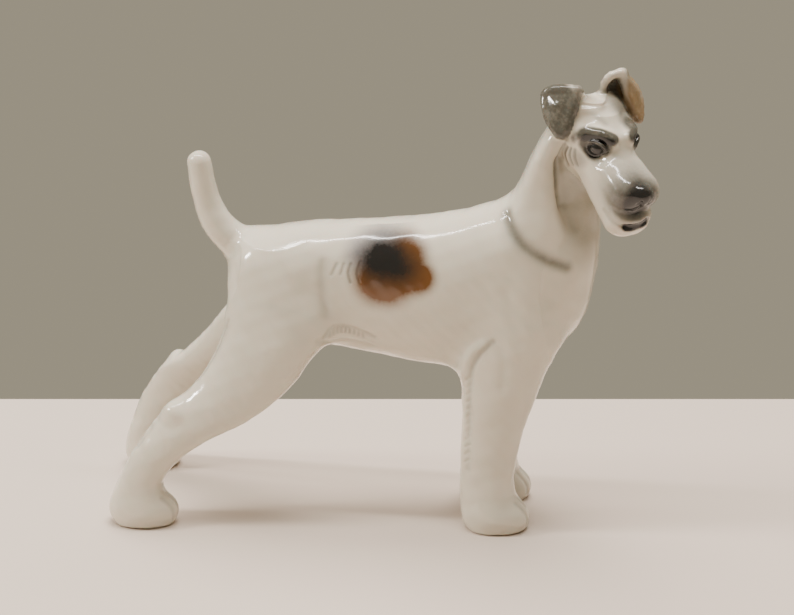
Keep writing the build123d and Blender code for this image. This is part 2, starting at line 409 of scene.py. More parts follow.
LEFT_EAR = dict(
    crease=((-17.5, 10.2, 17.0), (-19.6, 14.2, 14.8), (-22.4, 17.8, 10.2)),
    inner=((-15.8, 5.4, 5.8), (-17.6, 4.6, 12.4), (-17.9, 6.4, 16.2)),
    outer=((-22.0, 15.6, 4.0), (-20.5, 12.5, -1.0)),
    bowl=(-20.8, 13.2, 7.4),
    edge=((-18.6, 19.2, 10.2), (-13.6, 20.0, 9.0), (-8.6, 18.9, 7.0)),
    tip=(-5.0, 17.2, 4.4),
    front=((-9.4, 14.6, 8.2), (-13.8, 12.6, 12.2)),
    dish=(-12.8, 17.2, 10.6),
    rim=0.9,
    web=((-18.0, 13.4, 9.6), (-14.6, 7.6, 5.6), (-6.6, 15.4, 3.4)),
)


def leaf(q, a, b, c):
    """Distance to a triangle."""
    a, b, c = (np.array(v, float) for v in (a, b, c))
    normal = np.cross(b - a, c - a)
    normal /= np.linalg.norm(normal)
    height = (q - a) @ normal
    flat = q - height[:, None] * normal
    inside = np.ones(len(q), bool)
    edge = np.full(len(q), FAR)
    for u, v in ((a, b), (b, c), (c, a)):
        run = v - u
        t = np.clip(((flat - u) @ run) / (run @ run), 0, 1)
        edge = np.minimum(edge, np.linalg.norm(flat - u - t[:, None] * run, axis=1))
        inside &= ((flat - u) @ np.cross(normal, run)) > 0
    edge[inside] = 0
    return np.hypot(edge, height)


def sheet(q, outline, middle, thickness, rim):
    """Rounded sheet from a middle point out to a closed outline, its edge thickened to a rim."""
    around = curve(outline + outline[:1], 2)
    d = None
    for a, b in zip(around, around[1:]):
        piece = leaf(q, a, b, middle) - thickness
        d = piece if d is None else join(d, piece, 0.7)
    return join(d, strand(q, around, [rim] * len(around)), 1.5)


def ear(p, side):
    q = to_head(p) * np.array((1, side, 1))
    c = LEFT_EAR if side > 0 else RIGHT_EAR
    base = sheet(q, c["inner"] + c["crease"] + c["outer"], c["bowl"], BASE_THICKNESS, c["rim"])
    foot = strand(q, (c["inner"][0], c["bowl"], c["outer"][-1]), FOOT_RADII)
    flap_outline = c["crease"] + c["edge"] + (c["tip"],) + c["front"]
    flap = sheet(q, flap_outline, c["dish"], FLAP_THICKNESS, FLAP_THICKNESS)
    base = join(base, leaf(q, *c["web"]) - WEB_THICKNESS, 2.0)
    return join(join(base, foot, 2.5), flap, 1.2)


# name, low and high corner of the box it is felt in, field, extra arguments, softness of its joint
LIMBS = (
    ("neck", (25, -40, 80), (120, 40, 185), neck, (), 9.0),
    ("right_hind_leg", (-125, -50, -10), (10, 5, 115), hind_leg, (-1,), 12.0),
    ("left_hind_leg", (-125, -5, -10), (10, 50, 115), hind_leg, (1,), 12.0),
    ("right_foreleg", (20, -40, -10), (90, 5, 115), foreleg, (-1,), 9.0),
    ("left_foreleg", (20, -5, -10), (90, 40, 115), foreleg, (1,), 9.0),
    ("tail", (-85, -20, 85), (-20, 20, 160), tail, (), 5.0),
    ("head", (62, -38, 115), (118, 20, 180), head, (), 4.0),
    ("right_ear", (54, -30, 148), (98, 12, 188), ear, (-1,), 2.6),
    ("left_ear", (70, -16, 149), (114, 27, 190), ear, (1,), 2.6),
)
CASTINGS = ("torso",) + tuple(limb[0] for limb in LIMBS)


def hand_made(p):
    """Slow waves of a tenth of a millimetre or so, as a hand-modelled surface has."""
    x, y, z = p.T
    return (
        np.sin(0.41 * x + 0.23 * z + 1.3) * np.sin(0.37 * z - 0.19 * y)
        + np.sin(0.21 * x - 0.33 * z + 0.35 * y + 0.7)
        + 0.6 * np.sin(0.83 * z + 0.31 * x) * np.sin(0.67 * x - 0.47 * y + 2.1)
    ) * UNEVEN


def plain_dog(p):
    """The figurine without its incised coat."""
    d = torso(p)
    for _, low, high, field, extra, softness in LIMBS:
        inside = near(p, low, high)
        if inside.any():
            d[inside] = join(d[inside], field(p[inside], *extra), softness)
    return cut(d, p[:, 2], GROUND_ROUNDING)


def slope(field, p, reach=0.15):
    """A field's gradient, from four samples at a tetrahedron's corners."""
    corners = np.array(((1, -1, -1), (-1, -1, 1), (-1, 1, -1), (1, 1, 1)))
    return sum(field(p + e * reach)[:, None] * e for e in corners) / (4 * reach)


def settle(p, field, rounds=2, most=0.4):
    """Points moved onto a field's zero surface."""
    for _ in range(rounds):
        g = slope(field, p)
        d = field(p)[:, None]
        p = p - np.clip(d / (g * g).sum(1, keepdims=True), -most, most) * g
    return p


# ---- the modelled coat -------------------------------------------------------------------------
# Strokes of the modelling tool: points, depth, width, how much dark lies in it, as paint or, where marked,
# as painted shade. Those on the body are for the right side and are mirrored to the left. A negative depth
# raises a ridge.
BODY_STROKES = (
    # edge of the shoulder coat, round the neck
    (((54.4, -11.4, 127), (55.6, -14.5, 124), (59, -17.6, 119), (63.5, -18.5, 115.3),
      (69, -17.6, 112.0), (74.3, -15.6, 109.6), (76.8, -14.4, 108.6)), 0.8, 2.1, 0.8),
    # recess behind the jaw; its dark is painted shade, the head's shadow on the neck
    (((72.2, -10.5, 148), (72.7, -10.5, 143), (73.5, -10.5, 137), (75.0, -10.5, 131.5)), 1.2, 1.7, 0.9),
    (((74.2, -10.5, 135), (75.8, -10.5, 129), (78.0, -10.5, 123)), 0.8, 2.8, 0.35),
    # flank crease
    (((-15.7, -17, 107), (-15.7, -19, 99), (-14.8, -19, 91), (-14.8, -19, 87)), 0.4, 1.9, 0.2),
    # tufts behind the patch
    (((-4.9, -17, 106.8), (-5.8, -18, 103.6), (-4.9, -19, 100.1)), 0.4, 0.55, 0.6),
    (((-1.3, -17, 107.5), (-2.4, -18, 103.6), (-1.3, -19, 100)), 0.4, 0.55, 0.7),
    (((-7.6, -17, 106.6), (-8.7, -18, 103)), 0.3, 0.6, 0.35),
    (((-10.3, -17, 106.5), (-12.1, -18, 102.7)), 0.3, 0.7, 0.3),
    # fold of the tuck-up
    (((-16.0, -18.5, 78.0), (-11.8, -17.9, 82.4), (-4.4, -17.5, 81.6), (4.0, -17, 77.8)), 0.35, 0.8, 0.3),
    (((-18.2, -20, 76.4), (-13.8, -16, 75.6), (-7.6, -15, 75.4), (2.3, -15, 73.6)), 0.35, 1.2, 0.15),
    # elbow and the feathering behind the foreleg
    (((38.6, -17, 62), (40.1, -18.6, 70.0), (43.0, -19.8, 75.6), (47, -20.7, 78.4)), -0.7, 1.7, 0.0),
    (((40.6, -20, 40), (40.7, -20, 51.4), (41.3, -20, 60.7), (42.6, -20.4, 68.3), (45.8, -20.7, 75.0),
      (50.5, -21.3, 79.6)), 0.6, 1.1, 0.35),
    (((41.6, -20, 26), (41.0, -20, 34), (40.9, -20, 42), (41.4, -20, 50)), 0.35, 1.3, 0.2),
    (((52.5, -21, 79), (54.5, -21, 72), (54.0, -21, 62)), 0.3, 2.2, 0.06),
    # back edge of the thigh
    (((-52.4, -20, 83), (-54.4, -20, 78), (-53.2, -20, 74), (-56.0, -20, 70), (-55.6, -20, 65.5),
      (-60.0, -21, 61), (-61.6, -22, 56.5)), 0.45, 0.9, 0.28),
    (((-49.6, -20, 80), (-50.8, -21, 74), (-51.6, -21, 68), (-55.6, -22, 60)), 0.3, 1.6, 0.12),
    # hock
    (((-76.4, -27, 46.6), (-74.0, -29, 45.8)), -0.4, 1.8, 0.0),
    (((-72.2, -30, 45.6), (-75.6, -31, 40.6), (-79.8, -31, 35.0)), 0.5, 1.8, 0.2),
    # haunch, shoulder and foreleg
    (((-34, -21, 88), (-28, -21, 84), (-24, -21, 78)), 0.3, 3.0, 0.06),
    (((55, -21, 100), (57, -20, 90), (60, -20, 80)), 0.3, 3.0, 0.05),
    (((64.5, -17, 70), (62.0, -17, 52), (58.0, -17, 30)), 0.3, 2.2, 0.05),
)
TUCK = tuple(
    (((x, -18, 82.0 - 0.035 * (x + 9) ** 2), (x - 0.4, -17, 79.4 - 0.035 * (x + 9) ** 2)), 0.4, 0.5, 0.45)
    for x in np.arange(-13.6, 1.0, 1.65)
)
FEATHERS = tuple(
    (((41.6 + 0.3 * (i % 2), -20, 64.0 - 3.1 * i), (39.9, -19, 62.6 - 3.1 * i)), 0.35, 0.55, 0.2)
    for i in range(12)
)
SCALLOPS = tuple(
    (((-51.6 - 0.36 * i, -20, 80.0 - 2.6 * i), (-54.2 - 0.42 * i, -19, 78.6 - 2.6 * i)), 0.4, 0.7, 0.18)
    for i in range(8)
)
TOES = (
    # place ahead of the paw's middle, across it, and height
    (((13, -3.4, 2.5), (11.4, -3.6, 8.0), (7.2, -3.6, 11.6)), 0.5, 0.8, 0.22),
    (((13, 0.4, 2.5), (11.8, 0.4, 8.0), (7.6, 0.4, 11.8)), 0.5, 0.8, 0.22),
    (((12, 4.2, 2.5), (10.8, 4.4, 8.0), (6.8, 4.4, 11.6)), 0.5, 0.8, 0.22),
    (((3.0, -9.4, 2.2), (7.0, -8.6, 2.6), (11.0, -5.8, 2.2)), 0.3, 1.0, 0.1),
)
# Where each paw's toe strokes are laid from; the left hind paw is shorter, so its start further back
SHORT_PAW = 1.0
TOES_FROM = tuple(paws[side][0][:2] for paws in (FOREPAWS, HIND_PAWS) for side in (-1, 1))
TOES_FROM = TOES_FROM[:-1] + ((TOES_FROM[-1][0] - SHORT_PAW, TOES_FROM[-1][1]),)
# In the head's frame, for the left side; then the sides that have them
HEAD_STROKES = (
    # cuts in the cheek
    (((-8.4, 12.8, -5.2), (-8.0, 12.8, -8.4), (-5.6, 12.6, -11.6)), 0.5, 0.6, 0.6, (1, -1)),
    (((-6.8, 13, -4.2), (-6.4, 13, -7.4), (-4.6, 12.6, -10.6)), 0.5, 0.55, 0.7, (1, -1)),
    (((-4.4, 13, -4.6), (-4.2, 13, -8.0), (-1.8, 12, -11.8)), 0.5, 0.65, 0.85, (1, -1)),
    (((-2.9, 13, -3.8), (-2.2, 12.6, -6.6), (0.2, 12, -9.6)), 0.5, 0.6, 0.8, (1, -1)),
    (((-1.2, 12.6, -3.0), (0.0, 12.4, -5.4), (2.2, 11.6, -8.0)), 0.4, 0.6, 0.6, (1, -1)),
    # furrow over the brow
    (((-9.4, 10.0, 4.2), (-7.4, 8.6, 7.6), (-5.2, 6.4, 8.6), (-1.2, 4.2, 8.6)), 0.25, 1.4, 0.22, (1, -1)),
    # upper lip
    (((24.0, 9.6, -10.0), (28.6, 7.4, -10.4), (31.0, 3.6, -9.8), (31.6, 0, -9.4)), -0.5, 1.1, 0.0,
     (1, -1)),
    # crease over the upper lip; its dark is painted shade
    (((21.5, 9.6, -12.4), (26.2, 8.8, -12.9), (29.4, 6.4, -13.0)), 0.35, 0.8, 0.2, (1, -1)),
    # under the nose
    (((30.6, -4.4, -3.0), (31.2, -2.4, -5.0), (31.6, -0.4, -5.4), (31.0, 2.6, -4.6)), 0.5, 0.6, 0.0, (1,)),
    # the tool's cuts in the right ear
    (((-19.0, 17.6, 2.4), (-14.6, 17.6, 1.4), (-10.6, 17.4, 0.8)), 0.5, 0.6, 0.7, (-1,)),
    (((-17.0, 16.0, 3.6), (-13.0, 16.2, 2.6), (-9.4, 16.4, 1.8)), 0.5, 0.6, 0.8, (-1,)),
    (((-20.6, 18.6, 3.0), (-16.0, 19.4, 1.6), (-11.6, 19.2, 0.4)), 0.4, 0.6, 0.5, (-1,)),
)


STROKE_REACH = 2.5  # widths past its line that a stroke is felt
COAT_REACH = 3  # how near the plain surface the coat is worked out
BEHIND_FLANK = -45  # strokes that start behind this x lie on a hind leg


def from_head(q):
    """Head-frame points in the part's frame."""
    return HEAD_CENTRE + np.array(q, float) @ HEAD_AXES.T


def lay_strokes():
    """Every stroke with its points laid on the plain surface, and the box that it is felt in."""
    raw = []
    for points, depth, width, tint in BODY_STROKES + TUCK + FEATHERS + SCALLOPS:
        for side in (1, -1):
            place = np.array(points, float) * (1, side, 1)
            if side > 0 and place[0, 0] < BEHIND_FLANK:
                place[:, 0] -= flow(HIND_SET_BACK, place[:, 2])[0]
            raw.append((place, depth, width, tint))
    for x, y in TOES_FROM:
        for points, depth, width, tint in TOES:
            raw.append((np.array(points, float) * (1, np.sign(-y), 1) + (x, y, 0), depth, width, tint))
    for points, depth, width, tint, sides in HEAD_STROKES:
        for side in sides:
            raw.append((from_head(np.array(points, float) * (1, side, 1)), depth, width, tint))
    lines = [curve(points, 2) for points, _, _, _ in raw]
    splits = np.cumsum([len(points) for points in lines])[:-1]
    lines = np.split(settle(np.concatenate(lines), plain_dog, 4, 2.0), splits)
    laid = []
    for points, (_, depth, width, tint) in zip(lines, raw):
        reach = STROKE_REACH * width
        laid.append((points, depth, width, tint, points.min(0) - reach, points.max(0) + reach))
    return laid


STROKES = lay_strokes()


def dog(p):
    """The whole figurine's field at some points."""
    d = plain_dog(p)
    rows = np.flatnonzero(np.abs(d) < COAT_REACH)
    q = p[rows]
    d[rows] += hand_made(q)
    for points, depth, width, _, low, high in STROKES:
        inside = near(q, low, high)
        if inside.any():
            d[rows[inside]] += stroke(q[inside], points, depth, width)
    return d


def owner(p):
    """Which casting each surface point belongs to, as an index into CASTINGS."""
    fields = [torso(p)]
    for _, low, high, field, extra, _ in LIMBS:
        fields.append(patch(p, low, high, field, *extra))
    return np.argmin(fields, axis=0)


def spread_work(work, points):
    """Runs work over slices of the points on a few threads and joins the answers."""
    slices = [points[i : i + CHUNK] for i in range(0, len(points), CHUNK)]
    with ThreadPoolExecutor(THREADS) as pool:
        return np.concatenate(list(pool.map(work, slices)))


# ---- meshing ------------------------------------------------------------------------------------
def sample_grid():
    """The field on a regular grid, worked out finely only near the surface."""
    low = np.array(cad_box[0]) / MM - GRID_MARGIN
    high = np.array(cad_box[1]) / MM + GRID_MARGIN
    step = SPACING * COARSENING
    size = np.ceil((high - low) / step).astype(int) + 1
    grid = np.full(size, FAR)
    fresh = np.ones(size, bool)
    while True:
        index = np.argwhere(fresh)
        grid[fresh] = spread_work(dog, low + index * step)
        if step <= SPACING * 1.01:
            return grid, low, step
        # A cell's corners lie at most 1.73 steps apart, and the field's slope isn't quite 1.
        band = np.abs(grid) < step * 1.8 + 0.5
        for axis in range(3):
            grid = np.repeat(grid, 2, axis=axis)
            band = np.repeat(band, 2, axis=axis)
        fresh = band
        # Each sample becomes two, half a fine step before and after it.
        low = low - step / 4
        step = step / 2


def surface_net(grid, low, step):
    """Vertices and quads of the field's zero surface, one vertex in each cell that it crosses."""
    inside = grid < 0
    corners = [(i, j, k) for i in (0, 1) for j in (0, 1) for k in (0, 1)]
    n = np.array(grid.shape) - 1
    count = np.zeros(n, np.int8)
    for i, j, k in corners:
        count += inside[i : n[0] + i, j : n[1] + j, k : n[2] + k]
    cells = np.argwhere((count > 0) & (count < 8))
    value = {c: grid[tuple((cells + c).T)] for c in corners}
    total = np.zeros((len(cells), 3))
    weight = np.zeros(len(cells))
    for a in corners:
        for axis in range(3):
            if a[axis]:
                continue
            b = tuple(v + (axis == m) for m, v in enumerate(a))
            va, vb = value[a], value[b]
            crossed = (va < 0) != (vb < 0)
            t = np.where(crossed, va / np.where(crossed, va - vb, 1), 0)
            place = np.array(a, float) + np.eye(3)[axis] * t[:, None]
            total += place * crossed[:, None]
            weight += crossed
    vertices = low + (cells + total / weight[:, None]) * step
    strides = np.array((n[1] * n[2], n[2], 1))
    keys = cells @ strides
    quads = []
    for axis in range(3):
        u, v = (axis + 1) % 3, (axis + 2) % 3
        shift = np.eye(3, dtype=int)
        first = inside[tuple(slice(0, -1) if m == axis else slice(1, -1) for m in range(3))]
        second = inside[tuple(slice(1, None) if m == axis else slice(1, -1) for m in range(3))]
        edges = np.argwhere(first != second) + (1 - shift[axis])
        outward = inside[tuple(edges.T)]
        ring = [edges, edges - shift[u], edges - shift[u] - shift[v], edges - shift[v]]
        quad = np.stack([np.searchsorted(keys, r @ strides) for r in ring], axis=1)
        quad[~outward] = quad[~outward][:, ::-1]
        quads.append(quad)
    return vertices, np.concatenate(quads)


def neighbours(quads):
    """Pairs of quads that share an edge, as two lists."""
    total = quads.max() + 1
    ends = np.roll(quads, -1, axis=1)
    key = (np.minimum(quads, ends) * total + np.maximum(quads, ends)).ravel()
    return (np.argsort(key, kind="stable").reshape(-1, 2) // 4).T


def islands(total, left, right):
    """For each of a number of things linked in pairs, the first thing it is joined to."""
    island = np.arange(total)
    while True:
        before = island.copy()
        np.minimum.at(island, left, before[right])
        np.minimum.at(island, right, before[left])
        island = island[island]
        if np.array_equal(before, island):
            return island


def outer_shell(vertices, quads):
    """The surface without the small closed hollows inside it."""
    island = islands(len(quads), *neighbours(quads))
    kept = quads[island == np.bincount(island).argmax()]
    used, compact = np.unique(kept, return_inverse=True)
    return vertices[used], compact.reshape(-1, 4)


def facing(p):
    """Unit outward normals of the surface."""
    g = slope(dog, p, 0.2)
    return g / np.linalg.norm(g, axis=1, keepdims=True)


def tidy_labels(quads, labels):
    """Labels with even borders, each casting's skin in one connected patch."""
    total = quads.max() + 1
    for _ in range(VOTING_ROUNDS):
        votes = np.zeros((total, len(CASTINGS)), int)
        np.add.at(votes, (quads.ravel(), np.repeat(labels, 4)), 1)
        labels = votes[quads].sum(1).argmax(1)
    left, right = neighbours(quads)
    same = labels[left] == labels[right]
    island = islands(len(quads), left[same], right[same])
    names, size = np.unique(island, return_counts=True)
    for casting in range(len(CASTINGS)):
        mine = names[labels[names] == casting]
        for stray in mine[size[np.searchsorted(names, mine)].argsort()[:-1]]:
            touching = np.concatenate(
                [labels[right[island[left] == stray]], labels[left[island[right] == stray]]]
            )
            others = touching[touching != casting]
            if len(others):
                labels[island == stray] = np.bincount(others).argmax()
    return labels


def refine(vertices, quads, labels, fine):
    """Quads of the finely modelled castings split in four, and their new vertices settled."""
    chosen = np.isin(labels, fine)
    part = quads[chosen]
    ends = np.roll(part, -1, axis=1)
    total = len(vertices)
    key = np.minimum(part, ends) * total + np.maximum(part, ends)
    unique, first, turn = np.unique(key.ravel(), return_index=True, return_inverse=True)
    turn = turn.reshape(-1, 4)
    middles = (vertices[part.ravel()[first]] + vertices[ends.ravel()[first]]) / 2
    border = np.bincount(turn.ravel(), minlength=len(unique)) == 1
    middles[~border] = spread_work(lambda p: settle(p, dog), middles[~border])
    centres = spread_work(lambda p: settle(p, dog), vertices[part].mean(1))
    mid = total + turn
    centre = (total + len(unique) + np.arange(len(part)))[:, None]
    split = np.concatenate([
        np.stack([part[:, k], mid[:, k], centre[:, 0], mid[:, k - 1]], axis=1) for k in range(4)
    ])
    return (
        np.concatenate([vertices, middles, centres]),
        np.concatenate([quads[~chosen], split]),
        np.concatenate([labels[~chosen], np.tile(labels[chosen], 4)]),
    )


def border_loops(quads):
    """The vertices round each opening of a piece's skin, in order."""
    starts, ends = quads.ravel(), np.roll(quads, -1, axis=1).ravel()
    size = quads.max() + 1
    forward = starts * size + ends
    lone = ~np.isin(ends * size + starts, forward)
    after = {}
    for start, end in zip(starts[lone].tolist(), ends[lone].tolist()):
        after.setdefault(start, []).append(end)
    loops = []
    while after:
        at = next(iter(after))
        loop = []
        while at in after:
            loop.append(at)
            onward = after[at].pop()
            if not after[at]:
                del after[at]
            at = onward
        loops.append(loop)
    return loops


# ---- underglaze painting and painted shade ------------------------------------------------------
def spot(p, centre, radii, edge):
    """Paint laid as a soft ellipse: 1 inside, fading out over a share of its radius."""
    return 1 - fade(1 - edge, 1 + edge, np.sqrt((((p - np.array(centre)) / np.array(radii)) ** 2).sum(1)))


def dab(p, points, width, edge):
    """Paint laid along a line."""
    return 1 - fade(width * (1 - edge), width * (1 + edge), line(p, points))


def most(*layers):
    return np.maximum.reduce(layers)


def flank_patch(p):
    """The patch on the right flank: violet and black above, brown below."""
    s = p * np.array((1, 0, 1))
    violet = most(
        spot(s, (1.4, 0, 110.4), (7.5, 9, 6.5), 0.7) * 0.7,
        spot(s, (9, 0, 113.6), (12, 9, 5.6), 0.6) * 0.7,
    )
    black = most(
        spot(s, (7.6, 0, 109.4), (10.6, 9, 8.2), 0.8),
        spot(s, (11.6, 0, 107.6), (9.0, 9, 7.0), 0.8) * 0.9,
        dab(s, ((-2.4, 0, 111.0), (2.4, 0, 113.2), (9, 0, 114.2)), 0.9, 0.8) * 0.5,
    )
    brown = most(
        spot(s, (8.0, 0, 101.2), (10.2, 9, 8.6), 0.6),
        spot(s, (15.0, 0, 104.4), (9.6, 9, 7.8), 0.6),
        spot(s, (16.0, 0, 108.4), (7.4, 9, 8.2), 0.7),
        spot(s, (20.0, 0, 103.6), (6.8, 9, 6.0), 0.6),
    )
    return violet, black, np.minimum(1.3 * brown, 1)


def eye_paint(q):
    """Black lines and spots round both eyes, and the grey of the brows over them."""
    black = grey = np.zeros(len(q))
    for side in (-1, 1):
        h = q * np.array((1, side, 1))
        black = most(
            black,
            dab(h, ((-4.0, 11.9, 0.2), (-0.6, 11.6, 4.0), (3.4, 9.4, 6.2), (6.0, 5.4, 6.8)), 1.4, 0.35),
            spot(h, (4.2, 9.8, 1.2), (3.4, 3.2, 3.3), 0.3),
            spot(h, (6.0, 8.4, 3.4), (2.4, 2.4, 2.4), 0.4) * 0.7,
        )
        grey = most(
            grey,
            dab(h, ((-4.4, 11.8, 0.8), (-1.6, 11.2, 4.8), (2.0, 9.2, 7.6), (5.6, 5.0, 7.8)), 2.6, 0.3),
            spot(h, (1.6, 10.8, 2.4), (5.4, 3.6, 4.0), 0.3),
            spot(h, (5.6, 8.0, 4.4), (3.6, 3.6, 3.6), 0.3),
        )
    return black, grey


def muzzle_paint(q):
    """Black of the nose and the mouth, and the grey haze round the nose."""
    lips = ((30.4, -4.4, -13.1), (32.0, -2.4, -12.8), (32.4, 0.4, -11.9), (31.4, 3.6, -11.2))
    black = most(
        spot(q, (27.4, -2.2, -3.0), (9.0, 8.2, 7.4), 0.5),
        spot(q, (25.2, -3.0, -4.0), (8.6, 9.2, 7.6), 0.45) * 0.75,
        dab(q, lips, 1.9, 0.3),
    )
    return black, spot(q, (22.0, -2.4, -2.2), (11.5, 10.5, 10.5), 0.6) * 0.6


def shade_under_ears(q, right):
    """Painted shade: grey in the crease along the right flap's front edge, and in the gaps under the right
    and the left flap.
    """
    front_edge = (RIGHT_EAR["crease"][0],) + RIGHT_EAR["front"][::-1] + (RIGHT_EAR["tip"],)
    # painted shade in the crease along the right flap's front edge
    front = dab(right, front_edge, 2.6, 0.5) * 0.9
    under_right_shade = dab(right, ((-14.0, 11.2, 8.6), (-10.5, 13.0, 4.6), (-7.4, 14.2, -1.0)), 2.2, 0.6)
    under_left_shade = dab(q, ((-14.4, 11.0, 8.4), (-9.8, 12.8, 5.6), (-5, 15.4, 3.0)), 3.4, 0.6) * 0.8
    return front, under_right_shade, under_left_shade


def head_grey_and_shade(q):
    """Thin grey on the head: painted shade under the right eye and beside the left flap, and grey over the
    left brow.
    """
    return most(
        spot(q, (1.5, -12.0, -5.5), (3.4, 3.0, 3.4), 0.6) * 0.4,
        spot(q, (-7.5, 11.0, 6.5), (7.5, 5.0, 6.5), 0.6) * 0.5,
        spot(q, (-6.6, 7.6, 8.6), (6.0, 4.6, 4.6), 0.7) * 0.6,
        spot(q, (2.0, 8.5, 8.0), (7.5, 4.5, 5.5), 0.35) * 0.85,
    )


def head_ochre(q):
    """Thin ochre on the skull beside the right ear."""
    return most(
        spot(q, (-15.0, -6.0, 8.6), (5.5, 4.0, 5.0), 0.6) * 0.35,
        spot(q, (-10.0, -10.5, 7.0), (5.0, 3.4, 6.0), 0.6) * 0.35,
    )


def right_flap_grey(right):
    """Grey of the right flap inside its pale edge."""
    pale_edge = RIGHT_EAR["crease"] + RIGHT_EAR["edge"] + (RIGHT_EAR["tip"],)
    face = fade(0.3, 1.8, line(right, curve(pale_edge, 2)))
    face *= spot(right, (-15.5, 17.0, 4.6), (12.5, 9.0, 11.0), 0.15)
    return most(face * 0.86, spot(right, (-13.0, 14.6, 5.6), (5.0, 4.6, 5.6), 0.7))


def left_bowl_grey(q):
    """Grey in the left ear's bowl, short of its rim."""
    bowl = spot(q, (-18.4, 10.4, 9.8), (6.6, 7.8, 7.8), 0.25)
    return bowl * fade(0.5, 1.2, line(q, curve(LEFT_EAR["inner"] + LEFT_EAR["crease"], 2))) * 0.8


def left_flap_tan(q):
    """Tan of the left flap, short of its front edge and crease."""
    flap = spot(q, (-12.0, 20.0, 11.0), (14.0, 8.6, 12.6), 0.15)
    return flap * fade(0.5, 1.8, line(q, curve(LEFT_EAR["front"] + LEFT_EAR["crease"][:2], 2))) * 0.85


GLAZE_SPREAD = 1.15  # how wide the glaze in a stroke looks, in the stroke's widths


def cuts_and_painted_shade(p, is_head):
    """Darkening laid in the tool's cuts, as paint, or as painted shade where a stroke is marked so; and
    painted shade, thinly, over the neck below the head.
    """
    # painted shade: a thin darkening of the neck's front, standing in for the head's shadow
    throat = spot(p, (82, -8, 134), (10, 9, 24), 0.5) * 0.4
    darkening = np.where(is_head, 0, throat)
    for points, _, width, tint, low, high in STROKES:
        inside = near(p, low, high)
        if tint and inside.any():
            depth = np.exp(-((line(p[inside], points) / (width * GLAZE_SPREAD)) ** 2))
            darkening[inside] = np.maximum(darkening[inside], tint * depth)
    return darkening


def painting(p, casting):
    """Each paint's strength at some surface points of one casting."""
    q = to_head(p)
    right = q * np.array((1, -1, 1))
    violet, black, brown, grey, tan = np.zeros((5, len(p)))
    if casting == "head":
        eyes, brows = eye_paint(q)
        muzzle, haze = muzzle_paint(q)
        black = most(muzzle, eyes)
        # on the head, grey is paint (haze, brows) and painted shade (under the ears, under the right eye,
        # beside the left flap)
        grey = most(haze, brows * 0.9, *shade_under_ears(q, right), head_grey_and_shade(q))
        tan = head_ochre(q)
    elif casting == "right_ear":
        front, under_right_shade, _ = shade_under_ears(q, right)
        # the right ear's grey: grey on the flap, and painted shade along its front edge and under it
        grey = most(right_flap_grey(right), front, under_right_shade)
    elif casting == "left_ear":
        _, _, under_left_shade = shade_under_ears(q, right)
        # the left ear's grey: grey in the bowl, and painted shade under the flap
        grey = most(left_bowl_grey(q), under_left_shade)
        tan = left_flap_tan(q)
    else:
        violet, black, brown = np.where(p[:, 1] < -5, flank_patch(p), 0)
    # darkening in the tool's cuts, part paint and part painted shade (neck front, behind the jaw, over the
    # upper lip)
    hollow = cuts_and_painted_shade(p, casting == "head")
    return dict(violet=violet, black=black, brown=brown, grey=grey, tan=tan, hollow=hollow)


# ---- meshes ---------------------------------------------------------------------------------------
FINE = [CASTINGS.index(n) for n in ("head", "right_ear", "left_ear")]


def sculpt():
    """The surface's vertices, quads, each quad's casting and the vertices' normals."""
    grid, low, step = sample_grid()
    vertices, quads = outer_shell(*surface_net(grid, low, step))
    vertices = spread_work(lambda p: settle(p, dog, 1), vertices)
    labels = tidy_labels(quads, spread_work(owner, vertices[quads].mean(1)))
    vertices, quads, labels = refine(vertices, quads, labels, FINE)
    return vertices, quads, labels, spread_work(facing, vertices)


def piece_of(index, vertices, quads, labels, normals):
    """One casting as a Blender mesh: its skin, and a fan over each opening inside the joint."""
    # At full fineness the right ear's fans leave some of its edges open.
    name = CASTINGS[index]
    mine, compact = np.unique(quads[labels == index], return_inverse=True)
    skin = compact.reshape(-1, 4)
    points = vertices[mine]
    outward = normals[mine]
    faces = skin.tolist()
    centres = []
    for loop in border_loops(skin):
        centre = len(mine) + len(centres)
        centres.append(points[loop].mean(0))
        faces += [(b, a, centre) for a, b in zip(loop, loop[1:] + loop[:1])]
    places = np.concatenate([points, np.array(centres).reshape(-1, 3)]) * MM
    mesh = bpy.data.meshes.new(name)
    mesh.from_pydata(places.tolist(), [], faces)
    mesh.validate()
    bare = np.zeros(len(centres))
    for paint, strength in painting(points, name).items():
        layer = mesh.attributes.new(paint, "FLOAT", "POINT")
        layer.data.foreach_set("value", np.append(strength, bare).astype(np.float32))
    mesh.polygons.foreach_set("use_smooth", np.ones(len(mesh.polygons), bool))
    pad = np.tile((0.0, 0.0, 1.0), (len(centres), 1))
    mesh.normals_split_custom_set_from_vertices(np.concatenate([outward, pad]).tolist())
    piece = bpy.data.objects.new(name + "_casting", mesh)
    bpy.context.scene.collection.objects.link(piece)
    mesh.materials.append(GLAZE)
    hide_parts(name)
    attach(piece, "root")
    return piece


# ---- materials --------------------------------------------------------------------------------------
PORCELAIN = ((0.63, 0.58, 0.475, 1), (0.685, 0.63, 0.525, 1))
# Paint layers in the order they are laid: name, how much the brush breaks it up, colour
PAINTS = (
    # dark of the tool's cuts, also used as painted shade on the neck's front, behind the jaw and over the
    # upper lip
    ("hollow", 0.3, (0.14, 0.13, 0.10, 1)),
    ("violet", 0.4, (0.36, 0.34, 0.36, 1)),
    # grey is paint on the brows, ears and muzzle, and also painted shade under the flaps, along the right
    # flap's front edge, under the right eye and beside the left flap
    ("grey", 0.4, (0.080, 0.075, 0.058, 1)),
    ("tan", 0.4, (0.22, 0.145, 0.07, 1)),
    ("brown", 0.4, (0.145, 0.056, 0.012, 1)),
    ("black", 0.3, (0.009, 0.008, 0.008, 1)),
)
PAINT_LOAD = 1.12  # strength of an even stroke
TABLE_TOP = ((0.62, 0.525, 0.45, 1), (0.655, 0.56, 0.485, 1))


